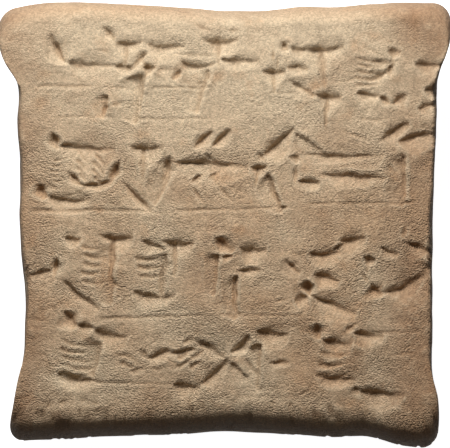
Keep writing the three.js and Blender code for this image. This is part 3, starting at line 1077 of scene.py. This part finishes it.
def wear_clay(tree, geometry, inputs):
    """Small dents, sandy grain, and crumbled places along the lower margin."""
    position = add_node(tree, "GeometryNodeInputPosition")
    place = add_node(tree, "ShaderNodeSeparateXYZ", {0: position})
    clear = add_node(
        tree,
        "ShaderNodeMapRange",
        {"Value": place.outputs["Z"], "From Min": 0.3 * MM, "From Max": 3 * MM},
    )
    # The clay is rougher in some places than in others, and smoothest where the reed has pressed it.
    taken = add_node(tree, "GeometryNodeInputNamedAttribute", {"Name": "pressed"}, data_type="FLOAT")
    untouched = add_node(
        tree,
        "ShaderNodeMapRange",
        {"Value": taken, "From Min": 0.05 * MM, "From Max": 0.3 * MM, "To Min": 1.0, "To Max": 0.55},
    )
    patches = add_node(
        tree, "ShaderNodeTexNoise", {"Vector": position, "Scale": 1 / (3.5 * MM), "Detail": 1.0}
    )
    rough = add_node(
        tree,
        "ShaderNodeMapRange",
        {"Value": patches, "From Min": 0.35, "From Max": 0.65, "To Min": 0.5, "To Max": 1.5},
    )
    # The walls were smoothed by hand, and only the face is rough.
    facing = add_node(tree, "ShaderNodeSeparateXYZ", {0: add_node(tree, "GeometryNodeInputNormal")})
    face = add_node(
        tree,
        "ShaderNodeMapRange",
        {"Value": facing.outputs["Z"], "From Min": 0.1, "From Max": 0.6, "To Min": 0.1, "To Max": 1.0},
    )
    on_face = add_node(tree, "ShaderNodeMath", {0: rough, 1: face}, operation="MULTIPLY")
    roughness = add_node(tree, "ShaderNodeMath", {0: on_face, 1: untouched}, operation="MULTIPLY")
    dent_scale = add_node(tree, "ShaderNodeMath", {0: 1.0, 1: inputs["Dent size"]}, operation="DIVIDE")
    dents = add_node(tree, "ShaderNodeTexNoise", {"Vector": position, "Scale": dent_scale, "Detail": 3.0})
    grain_scale = add_node(tree, "ShaderNodeMath", {0: 1.0, 1: inputs["Grain size"]}, operation="DIVIDE")
    grains = add_node(
        tree,
        "ShaderNodeTexVoronoi",
        {"Vector": position, "Scale": grain_scale, "Detail": 1.0, "Roughness": 0.6},
        normalize=True,
    )
    layers = []
    for pattern, middle, depth in ((dents, 0.5, "Dent depth"), (grains, 0.35, "Grain depth")):
        centred = add_node(tree, "ShaderNodeMath", {0: middle, 1: pattern}, operation="SUBTRACT")
        wear = add_node(tree, "ShaderNodeMath", {0: centred, 1: inputs[depth]}, operation="MULTIPLY")
        layers.append(add_node(tree, "ShaderNodeMath", {0: wear, 1: roughness}, operation="MULTIPLY"))
    # The crumbling is strongest just inside the lower rim.
    low = add_node(
        tree,
        "ShaderNodeMapRange",
        {"Value": place.outputs["Y"], "From Min": -16.0 * MM, "From Max": -19.0 * MM},
        interpolation_type="SMOOTHSTEP",
    )
    flakes = add_node(
        tree, "ShaderNodeTexNoise", {"Vector": position, "Scale": 1 / (1.2 * MM), "Detail": 4.0}
    )
    holes = add_node(
        tree,
        "ShaderNodeMapRange",
        {"Value": flakes, "From Min": 0.56, "From Max": 0.66, "To Min": 0.0, "To Max": -1.0},
    )
    crumbs = add_node(tree, "ShaderNodeMath", {0: low, 1: holes}, operation="MULTIPLY")
    layers.append(
        add_node(tree, "ShaderNodeMath", {0: crumbs, 1: inputs["Crumble depth"]}, operation="MULTIPLY")
    )
    total = layers[0]
    for layer in layers[1:]:
        total = add_node(tree, "ShaderNodeMath", {0: total, 1: layer}, operation="ADD")
    masked = add_node(tree, "ShaderNodeMath", {0: total, 1: clear}, operation="MULTIPLY")
    offset = add_node(
        tree,
        "ShaderNodeVectorMath",
        {0: add_node(tree, "GeometryNodeInputNormal"), "Scale": masked},
        operation="SCALE",
    )
    return add_node(tree, "GeometryNodeSetPosition", {"Geometry": geometry, "Offset": offset})


def note_ridges(tree, geometry):
    """Keeps how far each point stands out from the clay around it, for the paler edges, partly rubbed and
    partly painted highlight, and for painted shade in hollows.
    """
    place = add_node(tree, "ShaderNodeSeparateXYZ", {0: add_node(tree, "GeometryNodeInputPosition")})
    blank = add_node(tree, "GeometryNodeInputNamedAttribute", {"Name": "blank"}, data_type="FLOAT")
    rise = add_node(tree, "ShaderNodeMath", {0: place.outputs["Z"], 1: blank}, operation="SUBTRACT")
    around = add_node(
        tree, "GeometryNodeBlurAttribute", {"Value": rise, "Iterations": RIDGE_REACH}, data_type="FLOAT"
    )
    proud = add_node(tree, "ShaderNodeMath", {0: rise, 1: around}, operation="SUBTRACT")
    return add_node(
        tree,
        "GeometryNodeStoreNamedAttribute",
        {"Geometry": geometry, "Name": "ridge", "Value": proud},
        data_type="FLOAT",
        domain="POINT",
    )


TREE_INPUTS = {
    "Marks": "NodeSocketObject",
    **{name: "NodeSocketObject" for name in TIPS},
    "Top": "NodeSocketFloat",
    "Lowest": "NodeSocketFloat",
    "Lip reach": "NodeSocketInt",
    "Lip share": "NodeSocketFloat",
    "Burr reach": "NodeSocketInt",
    "Burr share": "NodeSocketFloat",
    "Ragged size": "NodeSocketFloat",
    "Ragged reach": "NodeSocketFloat",
    "Lump size": "NodeSocketFloat",
    "Lump height": "NodeSocketFloat",
    "Dent size": "NodeSocketFloat",
    "Dent depth": "NodeSocketFloat",
    "Grain size": "NodeSocketFloat",
    "Grain depth": "NodeSocketFloat",
    "Crumble depth": "NodeSocketFloat",
    "Clay": "NodeSocketMaterial",
}


def writing_tree():
    """Lumps, pressed marks and wear, in that order."""
    tree = bpy.data.node_groups.new("Written clay", "GeometryNodeTree")
    tree.interface.new_socket("Geometry", in_out="INPUT", socket_type="NodeSocketGeometry")
    for name, kind in TREE_INPUTS.items():
        tree.interface.new_socket(name, in_out="INPUT", socket_type=kind)
    tree.interface.new_socket("Geometry", in_out="OUTPUT", socket_type="NodeSocketGeometry")
    inputs = tree.nodes.new("NodeGroupInput").outputs
    lumpy = add_lumps(tree, inputs["Geometry"], inputs)
    shaped = press_marks(tree, lumpy, add_tips(tree, lumpy, inputs, BROAD_TIPS), inputs)
    written = press_marks(tree, shaped, add_tips(tree, shaped, inputs, FINE_TIPS), inputs)
    worn = note_ridges(tree, wear_clay(tree, written, inputs))
    real = add_node(tree, "GeometryNodeRealizeInstances", {"Geometry": worn})
    painted = add_node(tree, "GeometryNodeSetMaterial", {"Geometry": real, "Material": inputs["Clay"]})
    add_node(tree, "NodeGroupOutput", {0: painted})
    return tree


def apply_tree(piece, tree, values):
    """Runs the tree on the piece with these input values, and keeps the result as a plain mesh."""
    modifier = piece.modifiers.new(tree.name, "NODES")
    modifier.node_group = tree
    for item in tree.interface.items_tree:
        if item.in_out == "INPUT" and item.name in values:
            modifier[item.identifier] = values[item.name]
    depsgraph = bpy.context.evaluated_depsgraph_get()
    result = bpy.data.meshes.new_from_object(piece.evaluated_get(depsgraph))
    piece.modifiers.remove(modifier)
    piece.data = result


# ---------------------------------------------------------------------------------------------
# Materials
# ---------------------------------------------------------------------------------------------


def dry_clay(surface):
    """Levigated river clay, shaped by hand and dried hard.

    It is matt and buff, with a fine sandy grain and warm iron-stained blotches, painted shade in the marks,
    hollows and lower edge, and painted highlight on the top of the face and on raised edges.
    """
    material = bpy.data.materials.new("dry_river_clay")
    material.use_nodes = True
    tree = material.node_tree
    tree.nodes.clear()
    place = add_node(tree, "ShaderNodeTexCoord").outputs["Object"]
    # Broad drift between buff and cream, over about 9 mm.
    drift = add_node(
        tree, "ShaderNodeTexNoise", {"Vector": place, "Scale": 1 / (9 * MM), "Detail": 4.0, "Roughness": 0.6}
    )
    drift_share = add_node(
        tree, "ShaderNodeMapRange", {"Value": drift, "From Min": 0.35, "From Max": 0.7}
    )
    colour = add_node(
        tree,
        "ShaderNodeMix",
        {"Factor": drift_share, 6: (*surface.buff, 1), 7: (*surface.cream, 1)},
        data_type="RGBA",
    )
    # Painted light: the face is painted paler with cream towards its top, where the near key light falls more
    # strongly.
    spot = add_node(tree, "ShaderNodeSeparateXYZ", {0: place})
    upper = add_node(
        tree,
        "ShaderNodeMapRange",
        {"Value": spot.outputs["Y"], "From Min": 1 * MM, "From Max": 13 * MM, "To Max": 0.85},
    )
    colour = add_node(
        tree,
        "ShaderNodeMix",
        {"Factor": upper, 6: colour.outputs[2], 7: (*surface.cream, 1)},
        data_type="RGBA",
    )
    # Right at the top edge the painted paler tone gives way to buff again.
    crest = add_node(
        tree,
        "ShaderNodeMapRange",
        {"Value": spot.outputs["Y"], "From Min": 19.5 * MM, "From Max": 21 * MM, "To Max": 0.75},
    )
    colour = add_node(
        tree,
        "ShaderNodeMix",
        {"Factor": crest, 6: colour.outputs[2], 7: (*surface.buff, 1)},
        data_type="RGBA",
    )
    # Pinkish-brown blotches about 6 mm across, and iron-stained spots about 3 mm across.
    for tint, size, low, high, seed in (
        (surface.pink_brown, 6 * MM, 0.5, 0.85, 3.0),
        (surface.orange, 3.2 * MM, 0.58, 0.85, 8.0),
    ):
        blotch = add_node(
            tree,
            "ShaderNodeTexNoise",
            {"Vector": place, "W": seed, "Scale": 1 / size, "Detail": 3.0, "Roughness": 0.55},
            noise_dimensions="4D",
        )
        share = add_node(
            tree,
            "ShaderNodeMapRange",
            {"Value": blotch, "From Min": low, "From Max": high, "To Max": 0.75},
        )
        colour = add_node(
            tree,
            "ShaderNodeMix",
            {"Factor": share, 6: colour.outputs[2], 7: (*tint, 1)},
            data_type="RGBA",
        )
    # Handling has stained the left, right and lower margins darker, over about 4 mm. Along the lower edge,
    # which turns away from the light, the darkening is also painted shade.
    shifted = add_node(tree, "ShaderNodeMath", {0: spot.outputs["X"], 1: 1.2 * MM}, operation="ADD")
    off_middle = add_node(tree, "ShaderNodeMath", {0: shifted}, operation="ABSOLUTE")
    margin = add_node(
        tree,
        "ShaderNodeMapRange",
        {"Value": off_middle, "From Min": 15 * MM, "From Max": 19.6 * MM, "To Max": 0.95},
    )
    # Painted shade along the lower edge and wall, mixed with the reddish stain of the lower lip.
    foot = add_node(
        tree,
        "ShaderNodeMapRange",
        {"Value": spot.outputs["Y"], "From Min": -19 * MM, "From Max": -21 * MM, "To Max": 0.95},
    )
    rim = add_node(tree, "ShaderNodeMath", {0: margin, 1: foot}, operation="MAXIMUM")
    uneven = add_node(
        tree,
        "ShaderNodeMapRange",
        {"Value": drift, "From Min": 0.35, "From Max": 0.65, "To Min": 0.3, "To Max": 1.0},
    )
    stained_and_shaded_margin = add_node(tree, "ShaderNodeMath", {0: rim, 1: uneven}, operation="MULTIPLY")
    colour = add_node(
        tree,
        "ShaderNodeMix",
        {"Factor": stained_and_shaded_margin, 6: colour.outputs[2], 7: (*surface.pink_brown, 1)},
        data_type="RGBA",
    )
    # Painted shade: the deeper marks are painted darker with brown, where shade falls in them.
    pressed = add_node(tree, "ShaderNodeAttribute", attribute_name="pressed")
    painted_mark_shade = add_node(
        tree,
        "ShaderNodeMapRange",
        {"Value": pressed.outputs["Fac"], "From Min": 0.3 * MM, "From Max": 1.1 * MM, "To Max": 0.3},
    )
    colour = add_node(
        tree,
        "ShaderNodeMix",
        {"Factor": painted_mark_shade, 6: colour.outputs[2], 7: (*surface.painted_shade_brown, 1)},
        data_type="RGBA",
    )
    # Painted light and shade: edges that stand out are painted paler, partly as rubbing and partly as painted
    # highlight, and hollows are painted darker brown as shade.
    ridge = add_node(tree, "ShaderNodeAttribute", attribute_name="ridge")
    for tint, height, most in ((surface.cream, 0.07 * MM, 0.5), (surface.painted_shade_brown, -0.09 * MM, 0.4)):
        share = add_node(
            tree,
            "ShaderNodeMapRange",
            {"Value": ridge.outputs["Fac"], "From Min": 0.0, "From Max": height, "To Max": most},
        )
        colour = add_node(
            tree,
            "ShaderNodeMix",
            {"Factor": share, 6: colour.outputs[2], 7: (*tint, 1)},
            data_type="RGBA",
        )
    # Grains of sand about 0.15 mm across, each with a shade of its own, and finer dust between them.
    sand = add_node(tree, "ShaderNodeTexVoronoi", {"Vector": place, "Scale": 1 / (0.15 * MM)})
    tone = add_node(tree, "ShaderNodeSeparateColor", {0: sand.outputs["Color"]})
    shade = add_node(tree, "ShaderNodeMapRange", {"Value": tone, "To Min": 0.8, "To Max": 1.2})
    colour = add_node(
        tree,
        "ShaderNodeVectorMath",
        {0: colour.outputs[2], "Scale": shade},
        operation="SCALE",
    )
    dust = add_node(
        tree,
        "ShaderNodeTexNoise",
        {"Vector": place, "Scale": 1 / (0.2 * MM), "Detail": 1.0, "Roughness": 0.7},
    )
    grit = add_node(tree, "ShaderNodeMath", {0: dust, 1: sand.outputs["Distance"]}, operation="SUBTRACT")
    # The reed has smoothed the clay where it pressed, and the rest is rough in patches about 4 mm wide.
    patches = add_node(tree, "ShaderNodeTexNoise", {"Vector": place, "Scale": 1 / (4 * MM), "Detail": 1.0})
    rough = add_node(
        tree,
        "ShaderNodeMapRange",
        {"Value": patches, "From Min": 0.35, "From Max": 0.65, "To Min": 0.55, "To Max": 1.3},
    )
    untouched = add_node(
        tree,
        "ShaderNodeMapRange",
        {"Value": pressed.outputs["Fac"], "From Max": 0.25 * MM, "To Min": 1.0, "To Max": 0.7},
    )
    # The lower part of the face is rougher than the top.
    lower = add_node(
        tree,
        "ShaderNodeMapRange",
        {"Value": spot.outputs["Y"], "From Min": 14 * MM, "From Max": 6 * MM, "To Min": 0.85, "To Max": 1.6},
    )
    strength = add_node(tree, "ShaderNodeMath", {0: rough, 1: untouched}, operation="MULTIPLY")
    lowered = add_node(tree, "ShaderNodeMath", {0: strength, 1: lower}, operation="MULTIPLY")
    height = add_node(tree, "ShaderNodeMath", {0: grit, 1: lowered}, operation="MULTIPLY")
    bump = add_node(tree, "ShaderNodeBump", {"Height": height, "Strength": 1.0, "Distance": 0.055 * MM})
    surface_shader = add_node(
        tree,
        "ShaderNodeBsdfPrincipled",
        {"Base Color": colour, "Roughness": 0.93, "Specular IOR Level": 0.25, "Normal": bump},
    )
    add_node(tree, "ShaderNodeOutputMaterial", {"Surface": surface_shader})
    return material


def pale_paper(glow):
    """A sheet of white studio paper, lit from behind so that it stays even."""
    material = bpy.data.materials.new("white_studio_paper")
    material.use_nodes = True
    tree = material.node_tree
    tree.nodes.clear()
    place = add_node(tree, "ShaderNodeTexCoord").outputs["Object"]
    fibre = add_node(tree, "ShaderNodeTexNoise", {"Vector": place, "Scale": 1 / (2 * MM), "Detail": 2.0})
    shade = add_node(
        tree,
        "ShaderNodeMix",
        {"Factor": fibre, 6: (0.86, 0.86, 0.86, 1), 7: (0.9, 0.9, 0.9, 1)},
        data_type="RGBA",
    )
    sheet = add_node(
        tree,
        "ShaderNodeBsdfPrincipled",
        {
            "Base Color": shade.outputs[2],
            "Roughness": 0.9,
            "Emission Color": (1, 1, 1, 1),
            "Emission Strength": glow,
        },
    )
    add_node(tree, "ShaderNodeOutputMaterial", {"Surface": sheet})
    return material


# ---------------------------------------------------------------------------------------------
# Operators
# ---------------------------------------------------------------------------------------------


class CLAY_OT_tablet(bpy.types.Operator):
    """Shape the tablet, press its marks and put it in place of the plain solid"""

    bl_idname = "clay_tablet.make_tablet"
    bl_label = "Make the tablet"

    def execute(self, context):
        scene = context.scene
        shape, style, surface = scene.tablet_shape, scene.mark_shape, scene.clay_surface
        tablet = bpy.data.objects.new("written_tablet", make_blank(shape))
        scene.collection.objects.link(tablet)
        helpers = {"Marks": helper_object("mark_heads", make_marks(style))}
        for name, tip in TIPS.items():
            helpers[name] = helper_object(name, make_tip(name, tip))
        values = {
            **helpers,
            "Top": 2 * (shape.waist_height + shape.face_rise),
            "Lowest": shape.waist_height + shape.face_rise - RIM_DROP,
            "Clay": dry_clay(surface),
        }
        # Every other input is set by the property of the same name.
        for name in [name for name in TREE_INPUTS if name not in values]:
            key = name.lower().replace(" ", "_")
            values[name] = getattr(style if hasattr(style, key) else surface, key)
        apply_tree(tablet, writing_tree(), values)
        for helper in helpers.values():
            bpy.data.objects.remove(helper)
        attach(tablet, "root")
        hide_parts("tablet")
        return {"FINISHED"}


class CLAY_OT_stage(bpy.types.Operator):
    """Lay the floor, and set up the light and the camera"""

    bl_idname = "clay_tablet.make_stage"
    bl_label = "Make the stage"

    def execute(self, context):
        scene = context.scene
        studio = scene.studio_settings
        waist = scene.tablet_shape.waist_height
        mesh = bpy.data.meshes.new("floor")
        turns = ((-1, -1), (1, -1), (1, 1), (-1, 1))
        corners = [(x * FLOOR_REACH, y * FLOOR_REACH, 0) for x, y in turns]
        mesh.from_pydata(corners, [], [(0, 1, 2, 3)])
        mesh.materials.append(pale_paper(studio.floor_glow))
        floor = bpy.data.objects.new("floor", mesh)
        floor.visible_diffuse = False
        scene.collection.objects.link(floor)

        data = bpy.data.lights.new("key_light", "AREA")
        data.energy = studio.key_power
        data.size = studio.key_size
        data.color = KEY_COLOUR
        key = bpy.data.objects.new("key_light", data)
        flat = math.cos(studio.key_height) * studio.key_distance
        target = Vector((0, 0, waist))
        key.location = target + Vector(
            (
                -math.sin(studio.key_turn) * flat,
                math.cos(studio.key_turn) * flat,
                math.sin(studio.key_height) * studio.key_distance,
            )
        )
        key.rotation_euler = (target - key.location).to_track_quat("-Z", "Y").to_euler()
        scene.collection.objects.link(key)

        data = bpy.data.lights.new("fill_light", "AREA")
        data.energy = studio.fill_power
        data.size = studio.fill_distance / 2
        data.color = FILL_COLOUR
        fill = bpy.data.objects.new("fill_light", data)
        fill.location = target + Vector((0, 0, studio.fill_distance))
        scene.collection.objects.link(fill)

        world = bpy.data.worlds.new("studio_room")
        world.use_nodes = True
        background = world.node_tree.nodes["Background"]
        background.inputs["Color"].default_value = (1, 1, 1, 1)
        background.inputs["Strength"].default_value = studio.room_light
        scene.world = world

        camera_data = bpy.data.cameras.new("camera")
        camera_data.lens = studio.lens
        distance = studio.view_width * studio.lens / camera_data.sensor_width
        camera = bpy.data.objects.new("camera", camera_data)
        camera.location = (0, 0, waist + distance)
        scene.collection.objects.link(camera)
        scene.camera = camera
        scene.view_settings.view_transform = "Standard"
        return {"FINISHED"}


class CLAY_PT_panel(bpy.types.Panel):
    """Lists the steps that make the tablet"""

    bl_idname = "CLAY_PT_panel"
    bl_label = "Clay tablet"
    bl_space_type = "VIEW_3D"
    bl_region_type = "UI"
    bl_category = "Clay tablet"

    def draw(self, context):
        for group in ("tablet_shape", "mark_shape", "clay_surface", "studio_settings"):
            settings = getattr(context.scene, group)
            for name in settings.__annotations__:
                self.layout.prop(settings, name)
        self.layout.operator(CLAY_OT_tablet.bl_idname)
        self.layout.operator(CLAY_OT_stage.bl_idname)


SETTINGS = {
    "tablet_shape": TabletShape,
    "mark_shape": MarkShape,
    "clay_surface": ClaySurface,
    "studio_settings": StudioSettings,
}
CLASSES = (*SETTINGS.values(), CLAY_OT_tablet, CLAY_OT_stage, CLAY_PT_panel)


def register():
    for cls in CLASSES:
        bpy.utils.register_class(cls)
    for name, cls in SETTINGS.items():
        setattr(bpy.types.Scene, name, PointerProperty(type=cls))


def unregister():
    for name in SETTINGS:
        delattr(bpy.types.Scene, name)
    for cls in reversed(CLASSES):
        bpy.utils.unregister_class(cls)


def main():
    register()
    bpy.ops.clay_tablet.make_tablet()
    bpy.ops.clay_tablet.make_stage()


if __name__ == "__main__":
    main()
